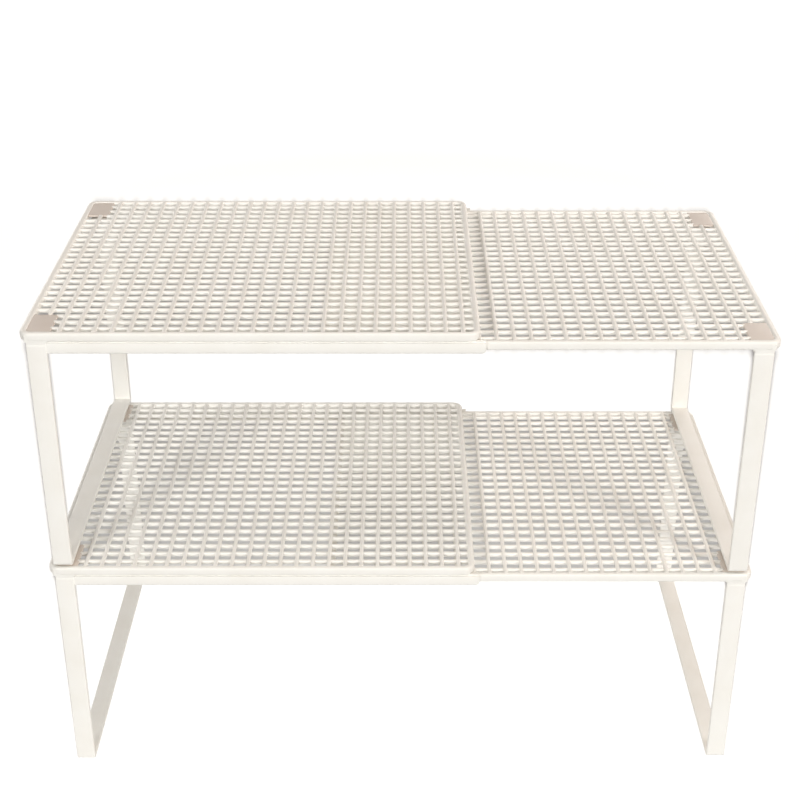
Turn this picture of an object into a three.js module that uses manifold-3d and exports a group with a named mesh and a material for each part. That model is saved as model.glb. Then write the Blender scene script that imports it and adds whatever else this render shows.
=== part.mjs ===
// Two-tier expandable shelf of wire mesh: two racks stacked on each other. Each rack has an outer deck
// and an inner deck that slides in under it on rails, and a U-shaped leg frame at each end.
// Millimetres, +Z up, front at -Y. The origin is on the floor, midway between the two ends.
import * as THREE from "three";
import { mergeVertices } from "three/addons/utils/BufferGeometryUtils.js";
import Module from "manifold-3d";

const wasm = await Module();
wasm.setup();

// Overall sizes
const REST_WIDTH = 500; // end to end, as far out as the decks are modelled
const DECK_LENGTH = 302; // each deck, along the slide
const DECK_DEPTH = 257; // outer deck, front to back
const LOWER_HEIGHT = 175; // top of the lower outer rim above the floor
const UPPER_HEIGHT = 182; // top of the upper outer rim above the lower one

// Rim round each deck
const RIM_WIDTH = 4.5;
const RIM_HEIGHT = 6.4;
const RIM_CORNER = 8; // radius in plan
const RIM_EDGE = 1.2; // rounding of the long edges

// Wire mesh: wires from front to back lie on wires from end to end, both pressed a little flat
const CROSS_WIRE_WIDTH = 2.8;
const CROSS_WIRE_HEIGHT = 1.9;
const CROSS_WIRE_PITCH = 11.5;
const LONG_WIRE_WIDTH = 2.8;
const LONG_WIRE_HEIGHT = 1.9;
const LONG_WIRE_PITCH = 10.15;
const WIRE_FACET = 0.28; // share of a wire's width taken off at each edge, which leaves it eight-sided
const MESH_BORDER = 1.5; // weld line along the ends of the wires
const MESH_DROP = 0.1; // top wires below the rim's top

// Rails under the outer rim
const RAIL_SETBACK = 1; // behind the rim's face
const RAIL_WALL = 1.1;
const RAIL_BEND = 1.6; // outside radius between wall and flange
const RAIL_FLANGE = 8; // reach under the inner deck's rim
const RAIL_OVERHANG = 3.5; // past the end of the outer rim
const SLIDE_GAP = 0.5; // running clearance of the inner rim in the rails
const DECK_GAP = 0.8; // running clearance between the two decks

// Leg frames, bent from flat bar
const LEG_WIDTH = 13.5;
const LEG_THICKNESS = 3;
const LEG_EDGE = 0.8; // rounding of the bar's long edges
const FOOT_BEND = 2.5; // inside radius at the floor
const TAB_BEND = 0.6; // inside radius under the deck
const TAB_LENGTH = 28; // from the front or rear face, under the corner plate

// Corner plates that the leg frames are screwed to
const PLATE_SHEET = 1.6;
const PLATE_DROP = 0.8; // below the rim's top
const PLATE_SIDE_MARGIN = 2.3; // past the leg's inner edge
const PLATE_END_MARGIN = 4.5; // past the end of the tab
const BOSS_DIAMETER = 9;

// Screws, from below through the tab into the plate's boss
const SCREW_DIAMETER = 4;
const SCREW_EDGE = 11; // from the end of the tab
const SCREW_GRIP = 2.4; // length inside the boss
const HEAD_DIAMETER = 7.5;
const HEAD_HEIGHT = 2.4;

// Anti-slip pads under the leg frames
const PAD_HEIGHT = 2;
const PAD_LENGTH = 22;
const PAD_MARGIN = 1.2; // inside the rim and the leg's edges

// Clearance between pieces that are fixed to each other or stand on each other
const SEAT_GAP = 0.2;

// Cutters reach this far past what they cut, and points closer than the tolerance are one
const CUT_PAST = 1;
const MERGE_TOLERANCE = 1e-4;

// Facets in a quarter turn, and round a screw or a boss
const ARC_STEPS = 4;
const ROUND_SIDES = 12;

// Sizes that follow from the ones above
const MESH_HEIGHT = MESH_DROP + CROSS_WIRE_HEIGHT + SEAT_GAP + LONG_WIRE_HEIGHT;
const DECK_STEP = Math.max(MESH_HEIGHT, RIM_HEIGHT) + DECK_GAP;
const INNER_DEPTH = DECK_DEPTH - 2 * (RAIL_SETBACK + RAIL_WALL + SLIDE_GAP);
const RIM_INNER_RADIUS = Math.max(RIM_CORNER - RIM_WIDTH, RIM_EDGE);
const LEG_INSET = RIM_WIDTH + SEAT_GAP;
const PLATE_REACH = LEG_INSET + LEG_WIDTH + PLATE_SIDE_MARGIN;
const PLATE_DEPTH = TAB_LENGTH + PLATE_END_MARGIN;

const powderCoat = new THREE.MeshStandardMaterial({ color: 0xf3efe8, roughness: 0.45, metalness: 0.0 });
const wireCoat = new THREE.MeshStandardMaterial({ color: 0xf1ece4, roughness: 0.5, metalness: 0.0 });
const zincSteel = new THREE.MeshStandardMaterial({ color: 0xb9babb, roughness: 0.35, metalness: 0.9 });
const softPad = new THREE.MeshStandardMaterial({ color: 0xe4e2dd, roughness: 0.8, metalness: 0.0 });

function named(name, geometry, material) {
  const mesh = new THREE.Mesh(geometry, material);
  mesh.name = name;
  return mesh;
}

function toSolid(geometry) {
  const bare = geometry.index ? geometry.toNonIndexed() : geometry.clone();
  bare.deleteAttribute("normal");
  bare.deleteAttribute("uv");
  const merged = mergeVertices(bare, MERGE_TOLERANCE);
  return new wasm.Manifold(new wasm.Mesh({
    numProp: 3,
    vertProperties: new Float32Array(merged.attributes.position.array),
    triVerts: new Uint32Array(merged.index.array),
  }));
}

function toGeometry(solid) {
  const { vertProperties, triVerts } = solid.getMesh();
  const geometry = new THREE.BufferGeometry();
  geometry.setAttribute("position", new THREE.BufferAttribute(vertProperties, 3));
  geometry.setIndex(new THREE.BufferAttribute(triVerts, 1));
  geometry.computeVertexNormals();
  return geometry;
}

// Quarter circle in plan, as points from angle `start` (in quarter turns) onwards
function quarterArc(centreX, centreY, radius, start) {
  const points = [];
  for (let step = 0; step <= ARC_STEPS; step += 1) {
    const angle = (start + step / ARC_STEPS) * Math.PI / 2;
    points.push(new THREE.Vector2(centreX + radius * Math.cos(angle), centreY + radius * Math.sin(angle)));
  }
  return points;
}

function roundedRectangle(halfX, halfY, radius) {
  const x = halfX - radius;
  const y = halfY - radius;
  return [
    ...quarterArc(x, y, radius, 0),
    ...quarterArc(-x, y, radius, 1),
    ...quarterArc(-x, -y, radius, 2),
    ...quarterArc(x, -y, radius, 3),
  ];
}

// A plan shape raised from `bottom` to `top`
function alongZ(shape, bottom, top) {
  const geometry = new THREE.ExtrudeGeometry(shape, { depth: top - bottom, bevelEnabled: false });
  return geometry.translate(0, 0, bottom);
}

// A section drawn in Y and Z, swept along X, with its end edges rounded by `edge`
function alongX(shape, start, end, edge = 0) {
  const geometry = new THREE.ExtrudeGeometry(shape, {
    depth: end - start - 2 * edge,
    bevelEnabled: edge > 0,
    bevelThickness: edge,
    bevelSize: edge,
    bevelOffset: -edge,
    bevelSegments: 1,
    curveSegments: ARC_STEPS / 2, // a round stretch gets twice as many
  });
  const toYZ = new THREE.Matrix4().makeBasis(
    new THREE.Vector3(0, 1, 0),
    new THREE.Vector3(0, 0, 1),
    new THREE.Vector3(1, 0, 0),
  );
  return geometry.applyMatrix4(toYZ).translate(start + edge, 0, 0);
}

// A section drawn in X and Z, swept along Y
function alongY(shape, start, end) {
  const geometry = new THREE.ExtrudeGeometry(shape, { depth: end - start, bevelEnabled: false });
  return geometry.rotateX(Math.PI / 2).translate(0, end, 0);
}

function upright(diameter, bottom, top, x, y) {
  const geometry = new THREE.CylinderGeometry(diameter / 2, diameter / 2, top - bottom, ROUND_SIDES);
  return geometry.rotateX(Math.PI / 2).translate(x, y, (bottom + top) / 2);
}

function rim(depth, top) {
  const shape = new THREE.Shape(roundedRectangle(DECK_LENGTH / 2, depth / 2, RIM_CORNER));
  const halfX = DECK_LENGTH / 2 - RIM_WIDTH;
  const halfY = depth / 2 - RIM_WIDTH;
  shape.holes.push(new THREE.Path(roundedRectangle(halfX, halfY, RIM_INNER_RADIUS)));
  const geometry = new THREE.ExtrudeGeometry(shape, {
    depth: RIM_HEIGHT - 2 * RIM_EDGE,
    bevelThickness: RIM_EDGE,
    bevelSize: RIM_EDGE,
    bevelOffset: -RIM_EDGE,
    bevelSegments: 2,
  });
  return geometry.translate(0, 0, top - RIM_HEIGHT + RIM_EDGE);
}

// Area that the mesh fills inside the rim, and the two corners that the plates take from it
function meshField(depth) {
  const halfX = DECK_LENGTH / 2 - RIM_WIDTH - SEAT_GAP;
  const halfY = depth / 2 - RIM_WIDTH - SEAT_GAP;
  return {
    halfX,
    halfY,
    notchX: -DECK_LENGTH / 2 + PLATE_REACH + SEAT_GAP,
    notchY: depth / 2 - PLATE_DEPTH - SEAT_GAP,
  };
}

// Outline of one layer of wires, counter-clockwise, with the leg end at -X
function meshOutline({ halfX, halfY, notchX, notchY }) {
  const arcX = halfX - RIM_INNER_RADIUS;
  const arcY = halfY - RIM_INNER_RADIUS;
  const corner = (x, y) => new THREE.Vector2(x, y);
  return [
    ...quarterArc(arcX, -arcY, RIM_INNER_RADIUS, 3),
    ...quarterArc(arcX, arcY, RIM_INNER_RADIUS, 0),
    corner(notchX, halfY),
    corner(notchX, notchY),
    corner(-halfX, notchY),
    corner(-halfX, -notchY),
    corner(notchX, -notchY),
    corner(notchX, -halfY),
  ];
}

// Middles of the cross wires, counted from the leg end, where the first opening is as wide as the others
function crossPlaces(halfX) {
  const first = -halfX - SEAT_GAP + CROSS_WIRE_PITCH - CROSS_WIRE_WIDTH / 2;
  const last = halfX - MESH_BORDER - CROSS_WIRE_WIDTH / 2;
  const count = Math.floor((last - first) / CROSS_WIRE_PITCH) + 1;
  return Array.from({ length: count }, (_, i) => first + i * CROSS_WIRE_PITCH);
}

// Middles of as many long wires as fit between the borders, evenly spaced about the deck's middle
function longPlaces(halfY) {
  const room = 2 * (halfY - MESH_BORDER) - LONG_WIRE_WIDTH;
  const count = Math.floor(room / LONG_WIRE_PITCH) + 1;
  return Array.from({ length: count }, (_, i) => (i - (count - 1) / 2) * LONG_WIRE_PITCH);
}

// Gaps between neighbouring wires, with the border at both ends of the span
function gapsBetween(half, places, width) {
  const starts = [-half + MESH_BORDER, ...places.map((place) => place + width / 2)];
  const ends = [...places.map((place) => place - width / 2), half - MESH_BORDER];
  return starts.map((start, i) => [start, ends[i]]);
}

// Section of the cutter for one gap, wider at its top and bottom than at mid-height
function gapSection(from, to, low, high, wireWidth) {
  const aside = wireWidth * WIRE_FACET;
  const rise = (high - low) * WIRE_FACET;
  const wall = [
    [from - aside, high + CUT_PAST],
    [from - aside, high],
    [from, high - rise],
    [from, low + rise],
    [from - aside, low],
    [from - aside, low - CUT_PAST],
  ];
  const oppositeWall = wall.map(([across, z]) => [from + to - across, z]).reverse();
  return new THREE.Shape([...wall, ...oppositeWall].map(([across, z]) => new THREE.Vector2(across, z)));
}

// How far a round corner reaches in, at a distance from the side
function cornerReach(distance) {
  const rest = Math.max(RIM_INNER_RADIUS - distance, 0);
  return RIM_INNER_RADIUS - Math.sqrt(RIM_INNER_RADIUS ** 2 - rest ** 2);
}

// Wires from front to back, joined along the front and rear rim and along the plates
function crossWires(depth, top) {
  const field = meshField(depth);
  const high = top - MESH_DROP;
  const low = high - CROSS_WIRE_HEIGHT;
  let wires = toSolid(alongZ(new THREE.Shape(meshOutline(field)), low, high));
  const plateSide = field.notchX + MESH_BORDER;
  const cut = (x0, x1, limit) => {
    const reach = limit - MESH_BORDER;
    const section = gapSection(x0, x1, low, high, CROSS_WIRE_WIDTH);
    wires = wires.subtract(toSolid(alongY(section, -reach, reach)));
  };
  for (const [x0, x1] of gapsBetween(field.halfX, crossPlaces(field.halfX), CROSS_WIRE_WIDTH)) {
    if (x0 < plateSide) {
      cut(x0, x1, field.notchY);
    }
    if (x1 > plateSide) {
      cut(Math.max(x0, plateSide), x1, field.halfY - cornerReach(field.halfX - x1));
    }
  }
  return toGeometry(wires);
}

// Wires from end to end, joined along the end rims and along the plates
function longWires(depth, top) {
  const field = meshField(depth);
  const low = top - MESH_HEIGHT;
  const high = low + LONG_WIRE_HEIGHT;
  let wires = toSolid(alongZ(new THREE.Shape(meshOutline(field)), low, high));
  const plateEnd = field.notchY - MESH_BORDER;
  const cut = (y0, y1, start) => {
    const reach = field.halfX - cornerReach(field.halfY - Math.max(-y0, y1));
    const section = gapSection(y0, y1, low, high, LONG_WIRE_WIDTH);
    wires = wires.subtract(toSolid(alongX(section, start + MESH_BORDER, reach - MESH_BORDER)));
  };
  for (const [y0, y1] of gapsBetween(field.halfY, longPlaces(field.halfY), LONG_WIRE_WIDTH)) {
    if (Math.max(-y0, y1) > plateEnd) {
      cut(y0, y1, field.notchX);
    }
    if (y0 < plateEnd && y1 > -plateEnd) {
      cut(Math.max(y0, -plateEnd), Math.min(y1, plateEnd), -field.halfX);
    }
  }
  return toGeometry(wires);
}

// Place of the screw at one end of a leg frame; side is -1 or 1 along Y
function screwPlace(depth, side) {
  return {
    x: -DECK_LENGTH / 2 + LEG_INSET + LEG_WIDTH / 2,
    y: side * (depth / 2 - TAB_LENGTH + SCREW_EDGE),
  };
}

// Sheet in the corner of the deck, with a blind boss below it for the screw
function cornerPlate(depth, top, side) {
  const x0 = -DECK_LENGTH / 2 + RIM_WIDTH + SEAT_GAP;
  const x1 = -DECK_LENGTH / 2 + PLATE_REACH;
  const y0 = depth / 2 - PLATE_DEPTH;
  const y1 = depth / 2 - RIM_WIDTH - SEAT_GAP;
  const outline = [
    new THREE.Vector2(x0, y0),
    new THREE.Vector2(x1, y0),
    new THREE.Vector2(x1, y1),
    ...quarterArc(x0 + RIM_INNER_RADIUS, y1 - RIM_INNER_RADIUS, RIM_INNER_RADIUS, 1),
  ];
  const shape = new THREE.Shape(outline.map((point) => new THREE.Vector2(point.x, side * point.y)));
  const sheetTop = top - PLATE_DROP;
  const sheetBottom = sheetTop - PLATE_SHEET;
  const bossBottom = top - RIM_HEIGHT;
  const { x, y } = screwPlace(depth, side);
  const holeDiameter = SCREW_DIAMETER + 2 * SEAT_GAP;
  const holeTop = bossBottom + SCREW_GRIP + SEAT_GAP;
  const sheet = toSolid(alongZ(shape, sheetBottom, sheetTop));
  const boss = toSolid(upright(BOSS_DIAMETER, bossBottom, sheetTop - PLATE_SHEET / 2, x, y));
  const hole = toSolid(upright(holeDiameter, bossBottom - CUT_PAST, holeTop, x, y));
  return toGeometry(sheet.add(boss).subtract(hole));
}

// Flat bar bent to front leg, runner and rear leg, with a tab turned in at both tops
function legFrame(depth, top) {
  const front = -depth / 2;
  const rear = depth / 2;
  const high = top - RIM_HEIGHT - SEAT_GAP;
  const low = PAD_HEIGHT + SEAT_GAP;
  const tab = TAB_BEND + LEG_THICKNESS;
  const foot = FOOT_BEND + LEG_THICKNESS;
  const quarter = Math.PI / 2;
  const section = new THREE.Shape();
  section.moveTo(front + TAB_LENGTH, high);
  section.absarc(front + tab, high - tab, tab, quarter, 2 * quarter, false);
  section.absarc(front + foot, low + foot, foot, 2 * quarter, 3 * quarter, false);
  section.absarc(rear - foot, low + foot, foot, 3 * quarter, 4 * quarter, false);
  section.absarc(rear - tab, high - tab, tab, 0, quarter, false);
  section.lineTo(rear - TAB_LENGTH, high);
  section.lineTo(rear - TAB_LENGTH, high - LEG_THICKNESS);
  section.absarc(rear - tab, high - tab, TAB_BEND, quarter, 0, true);
  section.absarc(rear - foot, low + foot, FOOT_BEND, 0, -quarter, true);
  section.absarc(front + foot, low + foot, FOOT_BEND, 3 * quarter, 2 * quarter, true);
  section.absarc(front + tab, high - tab, TAB_BEND, 2 * quarter, quarter, true);
  section.lineTo(front + TAB_LENGTH, high - LEG_THICKNESS);
  const outerEdge = -DECK_LENGTH / 2 + LEG_INSET;
  let solid = toSolid(alongX(section, outerEdge, outerEdge + LEG_WIDTH, LEG_EDGE));
  const holeDiameter = SCREW_DIAMETER + 2 * SEAT_GAP;
  for (const side of [-1, 1]) {
    const { x, y } = screwPlace(depth, side);
    const hole = upright(holeDiameter, high - LEG_THICKNESS - CUT_PAST, high + CUT_PAST, x, y);
    solid = solid.subtract(toSolid(hole));
  }
  return toGeometry(solid);
}

// Round-head screw, head down, whose shank passes the tab and ends inside the boss
function screw(depth, top, side) {
  const headTop = top - RIM_HEIGHT - SEAT_GAP - LEG_THICKNESS - SEAT_GAP;
  const shankTop = top - RIM_HEIGHT + SCREW_GRIP;
  const profile = [];
  for (let step = 0; step <= ARC_STEPS; step += 1) {
    const angle = (step / ARC_STEPS) * Math.PI / 2;
    const radius = (HEAD_DIAMETER / 2) * Math.sin(angle);
    profile.push(new THREE.Vector2(radius, headTop - HEAD_HEIGHT * Math.cos(angle)));
  }
  profile.push(
    new THREE.Vector2(SCREW_DIAMETER / 2, headTop),
    new THREE.Vector2(SCREW_DIAMETER / 2, shankTop),
    new THREE.Vector2(0, shankTop),
  );
  const { x, y } = screwPlace(depth, side);
  return new THREE.LatheGeometry(profile, ROUND_SIDES).rotateX(Math.PI / 2).translate(x, y, 0);
}

// Pad under the runner, short of the rim and of the leg's edges
function pad(depth, side) {
  const width = LEG_WIDTH - 2 * PAD_MARGIN;
  const x = -DECK_LENGTH / 2 + LEG_INSET + LEG_WIDTH / 2;
  const y = side * (depth / 2 - RIM_WIDTH - PAD_MARGIN - PAD_LENGTH / 2);
  return new THREE.BoxGeometry(width, PAD_LENGTH, PAD_HEIGHT).translate(x, y, PAD_HEIGHT / 2);
}

// Angle rail under the outer rim: a wall behind the rim's face and a flange below the inner rim
function rail(depth, top, side) {
  const start = -DECK_LENGTH / 2 + LEG_INSET + LEG_WIDTH + SEAT_GAP;
  const end = DECK_LENGTH / 2 + RAIL_OVERHANG;
  const face = depth / 2 - RAIL_SETBACK;
  const high = top - RIM_HEIGHT - SEAT_GAP;
  const ledge = top - DECK_STEP - RIM_HEIGHT - SLIDE_GAP;
  const low = ledge - RAIL_WALL;
  const section = [
    new THREE.Vector2(face, high),
    new THREE.Vector2(face - RAIL_WALL, high),
    new THREE.Vector2(face - RAIL_WALL, ledge),
    new THREE.Vector2(face - RAIL_FLANGE, ledge),
    new THREE.Vector2(face - RAIL_FLANGE, low),
    ...quarterArc(face - RAIL_BEND, low + RAIL_BEND, RAIL_BEND, 3),
  ];
  const points = section.map((point) => new THREE.Vector2(side * point.x, point.y));
  return alongX(new THREE.Shape(points), start, end);
}

// One deck with its leg frame at -X, standing on z = 0; front is the sign of Y that faces the front
function deckSection(name, depth, top, front) {
  const section = new THREE.Group();
  section.add(
    named(`${name}_rim`, rim(depth, top), powderCoat),
    named(`${name}_cross_wires`, crossWires(depth, top), wireCoat),
    named(`${name}_long_wires`, longWires(depth, top), wireCoat),
    named(`${name}_leg_frame`, legFrame(depth, top), powderCoat),
  );
  for (const [place, side] of [["front", front], ["rear", -front]]) {
    section.add(
      named(`${name}_${place}_corner_plate`, cornerPlate(depth, top, side), powderCoat),
      named(`${name}_${place}_screw`, screw(depth, top, side), zincSteel),
      named(`${name}_${place}_pad`, pad(depth, side), softPad),
    );
  }
  return section;
}

function outerSection(name, base, top) {
  const section = deckSection(name, DECK_DEPTH, top - base, -1);
  section.add(
    named(`${name}_front_rail`, rail(DECK_DEPTH, top - base, -1), powderCoat),
    named(`${name}_rear_rail`, rail(DECK_DEPTH, top - base, 1), powderCoat),
  );
  section.position.set((DECK_LENGTH - REST_WIDTH) / 2, 0, base);
  return section;
}

// The inner section is built like the outer one and turned half a turn, so its legs are at +X
function innerSection(name, base, top) {
  const section = deckSection(name, INNER_DEPTH, top - base, 1);
  section.rotation.z = Math.PI;
  section.position.set((REST_WIDTH - DECK_LENGTH) / 2, 0, base);
  return section;
}

// The upper feet stand on the corner plates of the deck below them
const standing = SEAT_GAP - PLATE_DROP;
const upperTop = LOWER_HEIGHT + UPPER_HEIGHT;
const shelf = new THREE.Group();
shelf.add(
  outerSection("lower_outer", 0, LOWER_HEIGHT),
  innerSection("lower_inner", 0, LOWER_HEIGHT - DECK_STEP),
  outerSection("upper_outer", LOWER_HEIGHT + standing, upperTop),
  innerSection("upper_inner", LOWER_HEIGHT - DECK_STEP + standing, upperTop - DECK_STEP),
);

export default shelf;
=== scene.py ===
"""Looks of a two-tier expandable mesh shelf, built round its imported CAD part.

Every CAD node is replaced by a finer piece of the same place and size. The shapes are drawn in
millimetres in the frame of one deck: its middle is the origin, the top of its rim is z = 0, and
its legs are at -X. A deck whose legs are on the right is the same drawing turned half a turn.
"""

import math
from dataclasses import dataclass

import bmesh
import bpy
from mathutils import Matrix, Vector


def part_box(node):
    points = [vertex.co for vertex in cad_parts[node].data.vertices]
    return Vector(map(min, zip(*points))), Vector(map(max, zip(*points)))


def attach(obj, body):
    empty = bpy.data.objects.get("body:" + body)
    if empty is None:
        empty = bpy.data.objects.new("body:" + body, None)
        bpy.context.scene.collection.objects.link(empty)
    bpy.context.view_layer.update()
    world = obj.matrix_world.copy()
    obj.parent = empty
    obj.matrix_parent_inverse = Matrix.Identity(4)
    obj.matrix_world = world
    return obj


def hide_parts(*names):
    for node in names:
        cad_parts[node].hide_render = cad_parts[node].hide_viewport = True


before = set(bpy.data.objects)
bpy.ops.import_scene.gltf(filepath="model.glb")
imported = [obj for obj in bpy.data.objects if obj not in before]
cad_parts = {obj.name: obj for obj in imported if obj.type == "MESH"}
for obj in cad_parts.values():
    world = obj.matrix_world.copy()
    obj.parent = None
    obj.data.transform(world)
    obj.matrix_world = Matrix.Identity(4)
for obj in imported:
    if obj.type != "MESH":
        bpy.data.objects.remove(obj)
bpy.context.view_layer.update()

MM = 0.001
SECTIONS = ("lower_outer", "lower_inner", "upper_outer", "upper_inner")
ENDS = {"front": -1, "rear": 1}  # signs of Y in the frame
SEAT_GAP = 0.2        # between pieces of the CAD part that are fixed to each other

# Rim of a deck: a rounded bar bent to a rectangle
RIM_WIDTH = 4.5
RIM_HEIGHT = 6.4
RIM_CORNER = 8.0
RIM_EDGE = 1.7

# Mesh: cross wires lie on long wires, pressed into each other and welded to the rim
CROSS_PITCH = 11.5
CROSS_HALF = 1.4      # half the width of a wire that is pressed a little flat
CROSS_RISE = 1.2      # half its height
CROSS_MIDDLE = -1.4
CROSS_LAP = 0.3       # how far its end goes into a corner plate
LONG_PITCH = 10.15
LONG_HALF = 1.5
LONG_RISE = 1.55
LONG_MIDDLE = -2.15
LONG_LAP = 1.5
MESH_BORDER = 1.7     # least room between the last wire and the rim
WIRE_SQUARE = 3.2     # 2 is an ellipse, more is squarer
WIRE_SIDES = 16
WIRE_SUNK = 0.9       # how far a wire's end goes into the rim
WIRE_FLARE = 0.15     # coat that gathers round a wire's end
FLARE_LENGTH = 1.2
FLARE_STEP = 1 / 3    # where the flare has fallen to the same share of its height
WIRE_DOME = ((0.0, 0.55), (0.2, 0.85), (0.6, 1.0))  # free end: depth in half widths, share of section
BEAD_RADIUS = 2.2     # weld between two wires
BEAD_HALF_HEIGHT = 0.7
BEAD_PROFILE = ((0.7, -1.0), (1.0, -0.3), (1.0, 0.3), (0.7, 1.0))  # shares of radius and half height
BEAD_SIDES = 8

# Corner plates, each with a boss for a screw
PLATE_SUNK = 0.5      # how far its edges go into the rim
PLATE_TOP = -0.8
PLATE_SHEET = 1.6
PLATE_EDGE = 0.4
PLATE_CORNER = 1.6
PLATE_TIP = 0.6       # radius of the corner that meets the front or rear rim
BOSS_RADIUS = 4.5
BOSS_EDGE = 0.4
BOSS_FILLET = 0.8
BOSS_SIDES = 24

# Leg frame: a flat bar with rounded edges
LEG_WIDTH = 13.5
LEG_THICKNESS = 3.0
LEG_EDGE = 0.9
FOOT_BEND = 3.2       # outer radius at the foot
TAB_BEND = 3.6        # outer radius under the rim
TAB_LENGTH = 24.5
TAB_RISE = 0.15       # how far the tab is pressed up towards the boss
WELD_TOP = -2.0       # the leg's welded head ends inside the rim
WELD_FLARE = 1.1
WELD_FOOT = 1.0       # how far the welded head reaches below the bend of the tab
WELD_BACK = 0.3       # how far it stands back from the rim's face

# Angle rail under an outer rim
RAIL_SETBACK = 0.5
RAIL_WALL = 1.9
RAIL_SHEET = 1.1      # thickness of the flange
RAIL_BEND = 1.6
RAIL_FILLET = 0.3     # inside the bend
RAIL_FLANGE = 8.5
RAIL_STUB = 0.01      # what is left of the flange at the free end
RAIL_SUNK = 0.5       # how far the wall goes into the rim
RAIL_LAP = 0.5        # how far the rail goes into the leg
RAIL_LIP = 0.3
RAIL_END_ROUND = 2.6  # rounded corner of the wall at the free end
SEAM_HEIGHT = 0.9     # groove between rim and rail
SEAM_DEPTH = 1.3
SEAM_EDGE = 0.35

# Screws
SCREW_REACH = 17.0    # from the rim's face to the screw
SCREW_SIDES = 32
HEAD_RADIUS = 3.75
HEAD_HEIGHT = 2.4
HEAD_UNDERSIDE = 0.97  # share of the head's radius where it bears on the tab
SHANK_RADIUS = 2.0
SHANK_LENGTH = 5.0
RECESS_REACH = 1.9
RECESS_WIDTH = 0.8
RECESS_DEPTH = 1.3
RECESS_TAPER = 0.6    # size at the bottom of the recess
CUT_PAST = 1.0        # how far a cutter reaches past what it cuts

# Pads and the tape that holds them
PAD_CORNER = 2.4
PAD_EDGE = 0.5
TAPE_HEIGHT = 0.35
TAPE_INSET = 0.5
TAPE_LAP = 0.25       # how far the tape goes into the runner
TAPE_EDGE = 0.05

# Tones of the materials; the flat corner plates get a darker coat, which is painted shade for the dimmer
# light on flat tops
COAT_CLOUDS = (0.30, 0.52, 0.72)
COAT_TONES = ((0.884, 0.866, 0.816), (0.904, 0.890, 0.846), (0.916, 0.906, 0.868))
# painted shade: the corner plates' tones are darkened to stand in for the dimmer light on their flat
# tops
PLATE_SHADE_TONES = ((0.662, 0.588, 0.526), (0.680, 0.608, 0.546), (0.695, 0.624, 0.562))
PLAIN_CLOUDS = (0.3, 0.7)
ZINC_TONES = ((0.52, 0.51, 0.49), (0.70, 0.69, 0.66))
RUBBER_TONES = ((0.66, 0.61, 0.52), (0.76, 0.71, 0.62))

# Camera of the photograph
LENS = 66.98
SENSOR = 36.0
CLIP_START = 0.01
CAMERA_PLACE = (-0.00086, -1.0089, 0.760)
CAMERA_TILT = 62.85

# Lamps on the shelf: turn from the front towards the right, rise, power and colour
SHELF_LAMPS = (
    ("left", -28, 20, 44.5, (1.0, 0.988, 0.97)),
    ("side", 40, 21, 48, (1.0, 0.992, 0.975)),
    ("right", 85, 40, 20, (1.0, 0.74, 0.57)),
    ("high", 0, 74, 20, (1.0, 0.98, 0.95)),
    ("back_right", 155, 22, 14, (1.0, 0.95, 0.90)),
    ("back_left", -145, 14, 20, (1.0, 0.95, 0.90)),
)
LAMP_TARGET = (0.0, 0.0, 0.2)
LAMP_REACH = 3.2
LAMP_SIZE = 0.6
ROOM_LIGHT = 0.05
ROOM_COLOUR = (1.0, 0.76, 0.56)
WHITE = (1.0, 1.0, 1.0)

# Lamp on the floor: it stands where the photographer does, so the shelf hides most of its own shadow
FLOOR_LAMP_PLACE = (-0.00086, -1.0089, 0.764)
FLOOR_LAMP_TARGET = (0.0, 0.6, 0.0)
FLOOR_LAMP_SIZE = (0.008, 0.030)
FLOOR_LAMP_POWER = 30.0

# Floor: its colour evens out the light from front to back, and far away it glows
FLOOR_REACH = 14.0
FLOOR_DROP = 0.0002
FLOOR_COLOUR = (1.0, 0.985, 0.96)
FLOOR_BOUNCE = 0.7    # share of its colour that it throws back on the shelf
PALE_FROM, PALE_TO = -0.5, 1.1
PALE_NEAR, PALE_FAR = 0.34, 0.92
GLOW_MIDDLE = (0.0, 0.6, 0.0)
GLOW_FROM, GLOW_TO = 0.7, 1.3
GLOW_NEAR, GLOW_FAR = 0.12, 1.0

# Fineness of roundings
LIP_STEPS = 2
ARC_STEPS = 5
BEND_STEPS = 10
SHARP_ANGLE = math.radians(40)


@dataclass
class Deck:
    """What the frame says of one deck, in the deck's own drawing."""

    name: str
    place: Matrix   # from the drawing to the frame
    side: int       # 1 where the drawing's -Y is the front, -1 where it is the rear
    half_x: float
    half_y: float
    leg_x: float    # outer edge of the legs
    leg_low: float
    leg_high: float
    plate_x: float  # inner edges of the corner plates
    plate_y: float

    @property
    def inner_x(self):
        return self.half_x - RIM_WIDTH

    @property
    def inner_y(self):
        return self.half_y - RIM_WIDTH


def read_deck(section):
    """Finds one deck's place, sizes and turn in the boxes of its CAD nodes."""
    low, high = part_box(f"{section}_rim")
    leg_low, leg_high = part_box(f"{section}_leg_frame")
    plate_low, plate_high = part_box(f"{section}_front_corner_plate")
    middle = (low + high) / 2
    turned = (leg_low.x + leg_high.x) / 2 > middle.x
    turn = Matrix.Rotation(math.pi if turned else 0, 4, "Z")
    half_x = (high.x - low.x) / 2 / MM
    half_y = (high.y - low.y) / 2 / MM
    leg_inset = ((high.x - leg_high.x) if turned else (leg_low.x - low.x)) / MM
    plate_reach = ((high.x - plate_low.x) if turned else (plate_high.x - low.x)) / MM
    return Deck(
        name=section,
        place=Matrix.Translation((middle.x, middle.y, high.z)) @ turn @ Matrix.Scale(MM, 4),
        side=-1 if turned else 1,
        half_x=half_x,
        half_y=half_y,
        leg_x=leg_inset - half_x,
        leg_low=(leg_low.z - high.z) / MM,
        leg_high=(leg_high.z - high.z) / MM,
        plate_x=plate_reach - half_x,
        plate_y=half_y - (plate_high.y - low.y) / MM,
    )


def quarter(steps):
    """Angles of a quarter turn, both ends included."""
    return [math.pi / 2 * step / steps for step in range(steps + 1)]


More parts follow.
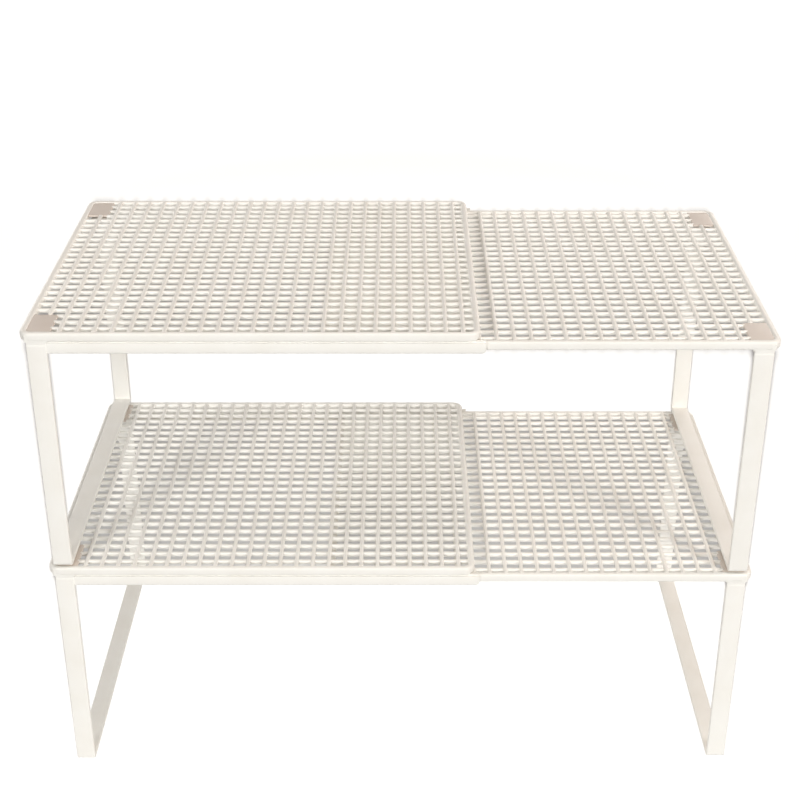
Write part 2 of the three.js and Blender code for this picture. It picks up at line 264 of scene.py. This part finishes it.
def arc(middle, radius, start, stop, steps=ARC_STEPS):
    """Points of an arc between two angles in degrees, both ends included."""
    points = []
    for step in range(steps + 1):
        angle = math.radians(start + (stop - start) * step / steps)
        points.append((middle[0] + radius * math.cos(angle), middle[1] + radius * math.sin(angle)))
    return points


def rounded(a0, a1, b0, b1, radii):
    """Outline of a rectangle, counter-clockwise from its highest corner, with one radius or four."""
    if not isinstance(radii, (tuple, list)):
        radii = (radii,) * 4
    corners = ((a1, b1, 0), (a0, b1, 90), (a0, b0, 180), (a1, b0, 270))
    inward = ((-1, -1), (1, -1), (1, 1), (-1, 1))
    points = []
    for (a, b, start), (da, db), radius in zip(corners, inward, radii):
        points += arc((a + da * radius, b + db * radius), radius, start, start + 90)
    return points


def circle(sides):
    """Points of a circle of radius 1."""
    turns = [2 * math.pi * (side + 0.5) / sides for side in range(sides)]
    return [(math.cos(turn), math.sin(turn)) for turn in turns]


def pressed(half, rise):
    """Section of a wire that is pressed a little flat."""
    points = []
    for a, b in circle(WIRE_SIDES):
        size = (abs(a) ** WIRE_SQUARE + abs(b) ** WIRE_SQUARE) ** (-1 / WIRE_SQUARE)
        points.append((a * size * half, b * size * rise))
    return points


def loft(bm, rings, closed=False):
    """Skin over rings of points, with both ends capped unless the rings close on themselves."""
    loops = [[bm.verts.new(point) for point in ring] for ring in rings]
    following = loops[1:] + loops[:1] if closed else loops[1:]
    for here, there in zip(loops, following):
        for i in range(len(here)):
            j = (i + 1) % len(here)
            bm.faces.new((here[i], here[j], there[j], there[i]))
    if not closed:
        bm.faces.new(loops[0])
        bm.faces.new(loops[-1])


def lathe(bm, middle, profile, sides):
    """Turned shape on an upright axis; the profile gives its radius and height."""
    x, y = middle
    ring = circle(sides)
    loft(bm, [[(x + a * radius, y + b * radius, z) for a, b in ring] for radius, z in profile])


def sheet(bm, outline_at, low, high, edge):
    """Flat sheet with rounded edges; outline_at gives its outline, drawn in by a distance."""
    rings = []
    for turn in quarter(ARC_STEPS):
        rings.append((edge * (1 - math.sin(turn)), low + edge * (1 - math.cos(turn))))
    rings += [(inset, low + high - z) for inset, z in reversed(rings)]
    loft(bm, [[(x, y, z) for x, y in outline_at(inset)] for inset, z in rings])


def rim(deck):
    """Rounded bar bent round the deck."""
    bm = bmesh.new()
    section = rounded(0, RIM_WIDTH, -RIM_HEIGHT, 0, RIM_EDGE)
    reach_x = deck.half_x - RIM_CORNER
    reach_y = deck.half_y - RIM_CORNER
    rings = []
    for start, sx, sy in ((0, 1, 1), (90, -1, 1), (180, -1, -1), (270, 1, -1)):
        middle = Vector((sx * reach_x, sy * reach_y, 0))
        for turn in quarter(BEND_STEPS):
            angle = math.radians(start) + turn
            out = Vector((math.cos(angle), math.sin(angle), 0))
            rings.append([middle + out * (RIM_CORNER - a) + Vector((0, 0, z)) for a, z in section])
    loft(bm, rings, closed=True)
    return bm


def cross_places(deck):
    """Middles of the cross wires, from the leg end, where the first opening is as wide as the others."""
    first = -deck.inner_x + CROSS_PITCH - CROSS_HALF
    last = deck.inner_x - MESH_BORDER - CROSS_HALF
    count = math.floor((last - first) / CROSS_PITCH) + 1
    return [first + i * CROSS_PITCH for i in range(count)]


def long_places(deck):
    """Middles of as many long wires as fit, evenly spaced about the deck's middle."""
    count = math.floor(2 * (deck.inner_y - MESH_BORDER - LONG_HALF) / LONG_PITCH) + 1
    return [(i - (count - 1) / 2) * LONG_PITCH for i in range(count)]


def wire_end(end, inward, half, in_rim):
    """Stations at a wire's end: place, share of the section and coat added round it."""
    if in_rim:
        return [
            (end - inward * WIRE_SUNK, 1, WIRE_FLARE),
            (end, 1, WIRE_FLARE),
            (end + inward * FLARE_LENGTH * FLARE_STEP, 1, WIRE_FLARE * FLARE_STEP),
            (end + inward * FLARE_LENGTH, 1, 0),
        ]
    return [(end + inward * half * depth, share, 0) for depth, share in WIRE_DOME]


def wire(bm, axis, start, stop, middle, half, rise, in_rim):
    """Pressed wire along one axis; an end in the rim flares and a free one is domed."""
    stations = wire_end(start, 1, half, in_rim[0])
    stations += wire_end(stop, -1, half, in_rim[1])[::-1]
    side, height = middle
    rings = []
    for place, share, wider in stations:
        section = pressed(half * share + wider, rise * share + wider)
        if axis == "x":
            rings.append([(place, side + a, height + b) for a, b in section])
        else:
            rings.append([(side + a, place, height + b) for a, b in section])
    loft(bm, rings)


def cross_wires(deck):
    """Wires from front to back, with a weld bead on each long wire that they cross."""
    bm = bmesh.new()
    bead_z = (CROSS_MIDDLE - CROSS_RISE + LONG_MIDDLE + LONG_RISE) / 2
    bead = [(BEAD_RADIUS * share, bead_z + BEAD_HALF_HEIGHT * height) for share, height in BEAD_PROFILE]
    for x in cross_places(deck):
        at_plate = x < deck.plate_x
        reach = deck.plate_y + CROSS_LAP if at_plate else deck.inner_y
        in_rim = (not at_plate, not at_plate)
        wire(bm, "y", -reach, reach, (x, CROSS_MIDDLE), CROSS_HALF, CROSS_RISE, in_rim)
        for y in long_places(deck):
            if not at_plate or abs(y) <= deck.plate_y:
                lathe(bm, (x, y), bead, BEAD_SIDES)
    return bm


def long_wires(deck):
    """Wires from end to end, under the cross wires."""
    bm = bmesh.new()
    for y in long_places(deck):
        at_plate = abs(y) > deck.plate_y
        start = deck.plate_x - LONG_LAP if at_plate else -deck.inner_x
        in_rim = (not at_plate, True)
        wire(bm, "x", start, deck.inner_x, (y, LONG_MIDDLE), LONG_HALF, LONG_RISE, in_rim)
    return bm


def screw_place(deck, side):
    """Middle of the screw in the tab, seen from above."""
    return deck.leg_x + LEG_WIDTH / 2, side * (deck.half_y - SCREW_REACH)


def corner_plate(deck, side):
    """Plate in a corner of the rim, with a boss under it."""
    bm = bmesh.new()
    x0 = -deck.inner_x - PLATE_SUNK
    y1 = deck.inner_y + PLATE_SUNK
    radii = (PLATE_TIP, RIM_CORNER - RIM_WIDTH + PLATE_SUNK, PLATE_CORNER, PLATE_CORNER)

    def outline(inset):
        drawn_in = [radius - inset for radius in radii]
        points = rounded(x0 + inset, deck.plate_x - inset, deck.plate_y + inset, y1 - inset, drawn_in)
        return [(x, side * y) for x, y in points]

    sheet_low = PLATE_TOP - PLATE_SHEET
    sheet(bm, outline, sheet_low, PLATE_TOP, PLATE_EDGE)
    boss = [(BOSS_RADIUS - BOSS_EDGE, -RIM_HEIGHT), (BOSS_RADIUS, -RIM_HEIGHT + BOSS_EDGE)]
    for turn in quarter(ARC_STEPS):
        radius = BOSS_RADIUS + BOSS_FILLET * (1 - math.cos(turn))
        boss.append((radius, sheet_low - BOSS_FILLET * (1 - math.sin(turn))))
    boss.append((BOSS_RADIUS + BOSS_FILLET, sheet_low + PLATE_SHEET / 2))
    lathe(bm, screw_place(deck, side), boss, BOSS_SIDES)
    return bm


def weld_heights():
    """Heights of the leg's welded head and how much wider it is there, up into the rim."""
    heights = [(-RIM_HEIGHT - TAB_BEND - WELD_FOOT, 0)]
    for turn in quarter(ARC_STEPS):
        z = -RIM_HEIGHT - WELD_FLARE * (1 - math.sin(turn))
        heights.append((z, WELD_FLARE * (1 - math.cos(turn))))
    heights.append((WELD_TOP, WELD_FLARE))
    return heights


def leg_frame(deck):
    """Flat bar bent to tab, front leg, runner, rear leg and tab, and welded up into the rim."""
    bm = bmesh.new()
    x0, x1 = deck.leg_x, deck.leg_x + LEG_WIDTH
    half = deck.half_y
    low, high = deck.leg_low, deck.leg_high + TAB_RISE
    bends = (
        (-half + TAB_BEND, high - TAB_BEND, TAB_BEND, 90),
        (-half + FOOT_BEND, low + FOOT_BEND, FOOT_BEND, 180),
        (half - FOOT_BEND, low + FOOT_BEND, FOOT_BEND, 270),
        (half - TAB_BEND, high - TAB_BEND, TAB_BEND, 0),
    )
    path = [(-half + TAB_LENGTH, high, 0, 1)]
    for y, z, radius, start in bends:
        for turn in quarter(BEND_STEPS):
            out_y = math.cos(math.radians(start) + turn)
            out_z = math.sin(math.radians(start) + turn)
            path.append((y + radius * out_y, z + radius * out_z, out_y, out_z))
    path.append((half - TAB_LENGTH, high, 0, 1))
    section = rounded(x0, x1, -LEG_THICKNESS, 0, LEG_EDGE)
    loft(bm, [[(x, y + out_y * a, z + out_z * a) for x, a in section] for y, z, out_y, out_z in path])
    for side in (-1, 1):
        face = side * (half - WELD_BACK)
        rings = []
        for z, wider in weld_heights():
            head = rounded(x0 - wider, x1 + wider, 0, LEG_THICKNESS, LEG_EDGE)
            rings.append([(x, face - side * a, z) for x, a in head])
        loft(bm, rings)
    return bm


def rail_section(flange, low, high):
    """Section of the rail: distance in from the rim's face, and height."""
    face = RAIL_SETBACK
    outer = min(RAIL_BEND, flange)
    inner = min(RAIL_FILLET, flange - RAIL_WALL)
    tip = face + flange
    wall = face + RAIL_WALL
    ledge = low + RAIL_SHEET
    seam = -RIM_HEIGHT - SEAM_HEIGHT
    return [
        (face + SEAM_DEPTH, high),
        (face + SEAM_DEPTH, seam),
        *arc((face + SEAM_EDGE, seam - SEAM_EDGE), SEAM_EDGE, 90, 180, LIP_STEPS),
        *arc((face + outer, low + outer), outer, 180, 270),
        *arc((tip - RAIL_LIP, low + RAIL_LIP), RAIL_LIP, 270, 360, LIP_STEPS),
        *arc((tip - RAIL_LIP, ledge - RAIL_LIP), RAIL_LIP, 0, 90, LIP_STEPS),
        *arc((wall + inner, ledge + inner), inner, 270, 180),
        (wall, high),
    ]


def rail(deck, side):
    """Angle rail, welded up into the rim, whose free end has its wall rounded and no flange."""
    bm = bmesh.new()
    box_low, box_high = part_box(f"{deck.name}_front_rail")
    _, rim_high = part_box(f"{deck.name}_rim")
    leg_edge = deck.leg_x + LEG_WIDTH
    free_end = leg_edge + SEAT_GAP + (box_high.x - box_low.x) / MM
    low = (box_low.z - rim_high.z) / MM
    high = -RIM_HEIGHT + RAIL_SUNK
    stations = [
        (leg_edge - RAIL_LAP, RAIL_FLANGE, low),
        (free_end - RAIL_END_ROUND, RAIL_FLANGE, low),
    ]
    for turn in quarter(BEND_STEPS):
        x = free_end - RAIL_END_ROUND * (1 - math.sin(turn))
        bottom = low + RAIL_END_ROUND * (1 - math.cos(turn))
        stations.append((x, RAIL_WALL + RAIL_STUB, bottom))
    rings = []
    for x, flange, bottom in stations:
        section = rail_section(flange, bottom, high)
        rings.append([(x, side * (deck.half_y - a), z) for a, z in section])
    loft(bm, rings)
    return bm


def screw(deck, side):
    """Pan-head screw, head down, with a cross recess."""
    x, y = screw_place(deck, side)
    top = deck.leg_high - LEG_THICKNESS
    bottom = top - HEAD_HEIGHT
    profile = []
    for turn in quarter(BEND_STEPS)[1:]:
        profile.append((HEAD_RADIUS * math.sin(turn), top - HEAD_HEIGHT * math.cos(turn)))
    profile.append((HEAD_RADIUS * HEAD_UNDERSIDE, top))
    profile.append((SHANK_RADIUS, top))
    profile.append((SHANK_RADIUS, top + SHANK_LENGTH))
    body = bmesh.new()
    lathe(body, (x, y), profile, SCREW_SIDES)
    wide, narrow = RECESS_REACH, RECESS_WIDTH / 2
    arm = [(wide, narrow), (narrow, narrow), (narrow, wide)]
    cross = []
    for _ in range(4):
        cross += arm
        arm = [(-b, a) for a, b in arm]
    tool = bmesh.new()
    heights = ((bottom - CUT_PAST, 1), (bottom + RECESS_DEPTH, RECESS_TAPER))
    loft(tool, [[(x + a * share, y + b * share, z) for a, b in cross] for z, share in heights])
    return carved(body, tool)


def carved(body, tool):
    """The first shape with the second cut out of it."""
    holders = []
    for bm in (body, tool):
        bmesh.ops.recalc_face_normals(bm, faces=bm.faces)
        mesh = bpy.data.meshes.new("carving")
        bm.to_mesh(mesh)
        bm.free()
        holder = bpy.data.objects.new("carving", mesh)
        bpy.context.scene.collection.objects.link(holder)
        holders.append(holder)
    cut = holders[0].modifiers.new("cut", "BOOLEAN")
    cut.operation = "DIFFERENCE"
    cut.solver = "EXACT"
    cut.object = holders[1]
    depsgraph = bpy.context.evaluated_depsgraph_get()
    result = bmesh.new()
    result.from_mesh(holders[0].evaluated_get(depsgraph).data)
    for holder in holders:
        mesh = holder.data
        bpy.data.objects.remove(holder)
        bpy.data.meshes.remove(mesh)
    return result


def pad(deck, end):
    """Soft pad with rounded edges, stuck under the runner by a thinner layer of tape."""
    bm = bmesh.new()
    inverse = deck.place.inverted()
    one, two = (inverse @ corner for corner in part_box(f"{deck.name}_{end}_pad"))
    x0, x1 = sorted((one.x, two.x))
    y0, y1 = sorted((one.y, two.y))
    low, high = one.z, two.z

    def outline(inset):
        return rounded(x0 + inset, x1 - inset, y0 + inset, y1 - inset, PAD_CORNER - inset)

    def tape_outline(inset):
        return outline(inset + TAPE_INSET)

    sheet(bm, outline, low, high - TAPE_HEIGHT, PAD_EDGE)
    sheet(bm, tape_outline, high - 2 * TAPE_HEIGHT, high + TAPE_LAP, TAPE_EDGE)
    return bm


def node_maker(owner):
    """Shorthand for adding a node to a material, world or lamp, and setting its inputs."""
    tree = owner.node_tree
    tree.nodes.clear()

    def add(kind, inputs=(), **settings):
        node = tree.nodes.new("ShaderNode" + kind)
        for name, value in settings.items():
            setattr(node, name, value)
        for name, value in dict(inputs).items():
            if isinstance(value, bpy.types.NodeSocket):
                tree.links.new(value, node.inputs[name])
            else:
                node.inputs[name].default_value = value
        return node

    return add


def new_material(name):
    """Empty material, and the shorthand for adding nodes to it."""
    material = bpy.data.materials.new(name)
    material.use_nodes = True
    return material, node_maker(material)


def clouded(add, cloud, places, tones):
    """Colour that goes through some tones at given places of a noise."""
    node = add("ValToRGB", {"Fac": cloud.outputs["Fac"]})
    elements = node.color_ramp.elements
    while len(elements) < len(tones):
        elements.new(0.5)
    for element, place, tone in zip(elements, places, tones):
        element.position = place
        element.color = (*tone, 1)
    return node.outputs["Color"]


def finish_surface(add, colour, rough, bump, more):
    """Ends a material with one shader of this colour, roughness and relief."""
    shader = add("BsdfPrincipled", {
        "Base Color": colour,
        "Roughness": rough.outputs["Result"],
        "Normal": bump.outputs["Normal"],
        **more,
    })
    add("OutputMaterial", {"Surface": shader.outputs["BSDF"]})


def powder_coat(name, tones):
    """Powder coat of three tones: faint orange peel, uneven gloss and slightly clouded colour."""
    material, add = new_material(name)
    where = add("TexCoord").outputs["Object"]
    cloud = add("TexNoise", {"Vector": where, "Scale": 38.0, "Detail": 3.0, "Roughness": 0.55})
    peel = add("TexNoise", {"Vector": where, "Scale": 900.0, "Detail": 2.0, "Roughness": 0.5})
    grain = add("TexNoise", {"Vector": where, "Scale": 3200.0, "Detail": 1.0})
    height = add("Math", {0: peel.outputs["Fac"], 1: grain.outputs["Fac"]}, operation="MULTIPLY")
    bump = add("Bump", {"Height": height.outputs[0], "Strength": 0.22, "Distance": 0.0003})
    rough = add("MapRange", {"Value": peel.outputs["Fac"], "To Min": 0.40, "To Max": 0.56})
    colour = clouded(add, cloud, COAT_CLOUDS, tones)
    finish_surface(add, colour, rough, bump, {"Specular IOR Level": 0.45})
    return material


def zinc():
    """Zinc-plated steel with fine turning marks and a clouded passivated tint."""
    material, add = new_material("screw_zinc_look")
    where = add("TexCoord").outputs["Object"]
    cloud = add("TexNoise", {"Vector": where, "Scale": 450.0, "Detail": 3.0})
    marks = add("TexWave", {"Vector": where, "Scale": 1500.0, "Distortion": 4.0, "Detail": 2.0})
    bump = add("Bump", {"Height": marks.outputs["Fac"], "Strength": 0.15, "Distance": 0.0001})
    rough = add("MapRange", {"Value": marks.outputs["Fac"], "To Min": 0.26, "To Max": 0.42})
    colour = clouded(add, cloud, PLAIN_CLOUDS, ZINC_TONES)
    finish_surface(add, colour, rough, bump, {"Metallic": 1.0})
    return material


def rubber():
    """Cream soft rubber with a fine moulded grain."""
    material, add = new_material("pad_rubber_look")
    where = add("TexCoord").outputs["Object"]
    cloud = add("TexNoise", {"Vector": where, "Scale": 220.0, "Detail": 3.0})
    grain = add("TexVoronoi", {"Vector": where, "Scale": 1800.0})
    bump = add("Bump", {"Height": grain.outputs["Distance"], "Strength": 0.3, "Distance": 0.0002})
    rough = add("MapRange", {"Value": cloud.outputs["Fac"], "To Min": 0.62, "To Max": 0.80})
    colour = clouded(add, cloud, PLAIN_CLOUDS, RUBBER_TONES)
    finish_surface(add, colour, rough, bump, {"Specular IOR Level": 0.3})
    return material


def add_piece(deck, part, bm, material):
    """Makes a drawn shape the look of one CAD node, riding on the deck's own body."""
    node = f"{deck.name}_{part}"
    bmesh.ops.recalc_face_normals(bm, faces=bm.faces)
    bm.transform(deck.place)
    mesh = bpy.data.meshes.new(f"{node}_look")
    bm.to_mesh(mesh)
    bm.free()
    mesh.shade_smooth()
    mesh.set_sharp_from_angle(angle=SHARP_ANGLE)
    mesh.materials.append(material)
    piece = bpy.data.objects.new(f"{node}_look", mesh)
    bpy.context.scene.collection.objects.link(piece)
    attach(piece, deck.name)
    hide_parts(node)
    return piece


def add_shelf():
    """Adds every piece, and gives back the rims and rails."""
    edges = []
    coat = powder_coat("powder_coat_look", COAT_TONES)
    # the corner plates' coat is darkened: painted shade for the dimmer light on their flat tops
    plate_painted_shade_coat = powder_coat("plate_painted_shade_look", PLATE_SHADE_TONES)
    plating, soft = zinc(), rubber()
    for section in SECTIONS:
        deck = read_deck(section)
        edges.append(add_piece(deck, "rim", rim(deck), coat))
        add_piece(deck, "cross_wires", cross_wires(deck), coat)
        add_piece(deck, "long_wires", long_wires(deck), coat)
        add_piece(deck, "leg_frame", leg_frame(deck), coat)
        for end, sign in ENDS.items():
            side = sign * deck.side
            add_piece(deck, f"{end}_corner_plate", corner_plate(deck, side), plate_painted_shade_coat)
            add_piece(deck, f"{end}_screw", screw(deck, side), plating)
            add_piece(deck, f"{end}_pad", pad(deck, end), soft)
            if f"{section}_{end}_rail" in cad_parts:
                edges.append(add_piece(deck, f"{end}_rail", rail(deck, side), coat))
    return edges


def add_camera():
    """Camera where the photograph was taken from."""
    data = bpy.data.cameras.new("photo_camera")
    data.lens = LENS
    data.sensor_width = SENSOR
    data.sensor_fit = "HORIZONTAL"
    data.clip_start = CLIP_START
    camera = bpy.data.objects.new("photo_camera", data)
    camera.location = CAMERA_PLACE
    camera.rotation_euler = (math.radians(CAMERA_TILT), 0, 0)
    bpy.context.scene.collection.objects.link(camera)
    bpy.context.scene.camera = camera


def seen_straight(add):
    """1 for rays that show the surroundings to the camera, straight or mirrored, else 0."""
    light = add("LightPath")
    seen = light.outputs["Is Camera Ray"]
    for kind in ("Is Glossy Ray", "Is Transmission Ray"):
        seen = add("Math", {0: seen, 1: light.outputs[kind]}, operation="MAXIMUM").outputs[0]
    return seen


def floor_white():
    """Pale matt floor, evened out in depth, that glows far away from the shelf."""
    material, add = new_material("floor_white")
    seen = seen_straight(add)
    where = add("NewGeometry").outputs["Position"]
    pale = add("MapRange", {
        "Value": add("SeparateXYZ", {"Vector": where}).outputs["Y"],
        "From Min": PALE_FROM,
        "From Max": PALE_TO,
        "To Min": PALE_NEAR,
        "To Max": PALE_FAR,
    })
    bounce = add("MapRange", {"Value": seen, "To Min": FLOOR_BOUNCE, "To Max": 1.0})
    level = add("Math", {0: pale.outputs["Result"], 1: bounce.outputs["Result"]}, operation="MULTIPLY")
    graded = add("VectorMath", {0: FLOOR_COLOUR, "Scale": level.outputs[0]}, operation="SCALE")
    far = add("MapRange", {
        "Value": add("VectorMath", {0: where, 1: GLOW_MIDDLE}, operation="DISTANCE").outputs["Value"],
        "From Min": GLOW_FROM,
        "From Max": GLOW_TO,
        "To Min": GLOW_NEAR,
        "To Max": GLOW_FAR,
    }, interpolation_type="SMOOTHSTEP")
    share = add("Math", {0: seen, 1: far.outputs["Result"]}, operation="MULTIPLY")
    matt = add("BsdfDiffuse", {"Color": graded.outputs[0]})
    glow = add("Emission", {"Color": (*WHITE, 1), "Strength": share.outputs[0]})
    both = add("AddShader", {0: matt.outputs[0], 1: glow.outputs[0]})
    add("OutputMaterial", {"Surface": both.outputs[0]})
    return material


def add_floor():
    """Floor that looks white to the camera and keeps the shelf's shadow."""
    bm = bmesh.new()
    corners = ((-1, -1), (1, -1), (1, 1), (-1, 1))
    bm.faces.new([bm.verts.new((x * FLOOR_REACH, y * FLOOR_REACH, -FLOOR_DROP)) for x, y in corners])
    mesh = bpy.data.meshes.new("floor")
    bm.to_mesh(mesh)
    bm.free()
    mesh.materials.append(floor_white())
    floor = bpy.data.objects.new("floor", mesh)
    bpy.context.scene.collection.objects.link(floor)
    return floor


def add_world():
    """Dim room round the shelf, white where the camera sees it."""
    world = bpy.data.worlds.new("studio")
    world.use_nodes = True
    bpy.context.scene.world = world
    add = node_maker(world)
    room = add("Background", {"Color": (*ROOM_COLOUR, 1), "Strength": ROOM_LIGHT})
    white = add("Background", {"Color": (*WHITE, 1), "Strength": 1.0})
    both = add("MixShader", {0: seen_straight(add), 1: room.outputs[0], 2: white.outputs[0]})
    add("OutputWorld", {"Surface": both.outputs[0]})


def add_lamp(name, place, target, size, power, colour):
    """Area lamp at one point, turned towards another."""
    data = bpy.data.lights.new(name, "AREA")
    data.shape = "RECTANGLE"
    data.size, data.size_y = size
    data.energy = power
    data.color = colour
    lamp = bpy.data.objects.new(name, data)
    lamp.location = place
    lamp.rotation_euler = (Vector(target) - Vector(place)).to_track_quat("-Z", "Y").to_euler()
    lamp.visible_camera = False
    bpy.context.scene.collection.objects.link(lamp)
    return lamp


def left_out(name, pieces):
    """Collection for light linking that stands for everything but these pieces."""
    group = bpy.data.collections.new(name)
    for piece in pieces:
        group.objects.link(piece)
    for entry in group.collection_objects:
        entry.light_linking.link_state = "EXCLUDE"
    return group


def add_shelf_lamps(floor):
    """Soft lamps round the shelf, which leave out the floor."""
    shelf_only = left_out("lit_by_shelf_lamps", [floor])
    for name, turn, rise, power, colour in SHELF_LAMPS:
        turn, rise = math.radians(turn), math.radians(rise)
        out = Vector((math.sin(turn) * math.cos(rise), -math.cos(turn) * math.cos(rise), math.sin(rise)))
        place = Vector(LAMP_TARGET) + out * LAMP_REACH
        lamp = add_lamp(name, place, LAMP_TARGET, (LAMP_SIZE, LAMP_SIZE), power, colour)
        lamp.light_linking.receiver_collection = shelf_only


def add_floor_lamp(floor, edges):
    """Lamp for the floor alone, equally strong near and far.

    It shines past rims and rails, so that no dim seam runs along their outlines.
    """
    lamp = add_lamp(
        "floor_lamp", FLOOR_LAMP_PLACE, FLOOR_LAMP_TARGET, FLOOR_LAMP_SIZE, FLOOR_LAMP_POWER, WHITE,
    )
    floor_only = bpy.data.collections.new("lit_by_floor_lamp")
    floor_only.objects.link(floor)
    lamp.light_linking.receiver_collection = floor_only
    lamp.light_linking.blocker_collection = left_out("shading_the_floor", edges)
    lamp.visible_glossy = False
    lamp.data.use_nodes = True
    add = node_maker(lamp.data)
    even = add("LightFalloff", {"Strength": 1.0})
    glow = add("Emission", {"Strength": even.outputs["Constant"]})
    add("OutputLight", {"Surface": glow.outputs[0]})


bpy.context.scene.view_settings.view_transform = "Standard"
shelf_edges = add_shelf()
shelf_floor = add_floor()
add_camera()
add_world()
add_shelf_lamps(shelf_floor)
add_floor_lamp(shelf_floor, shelf_edges)
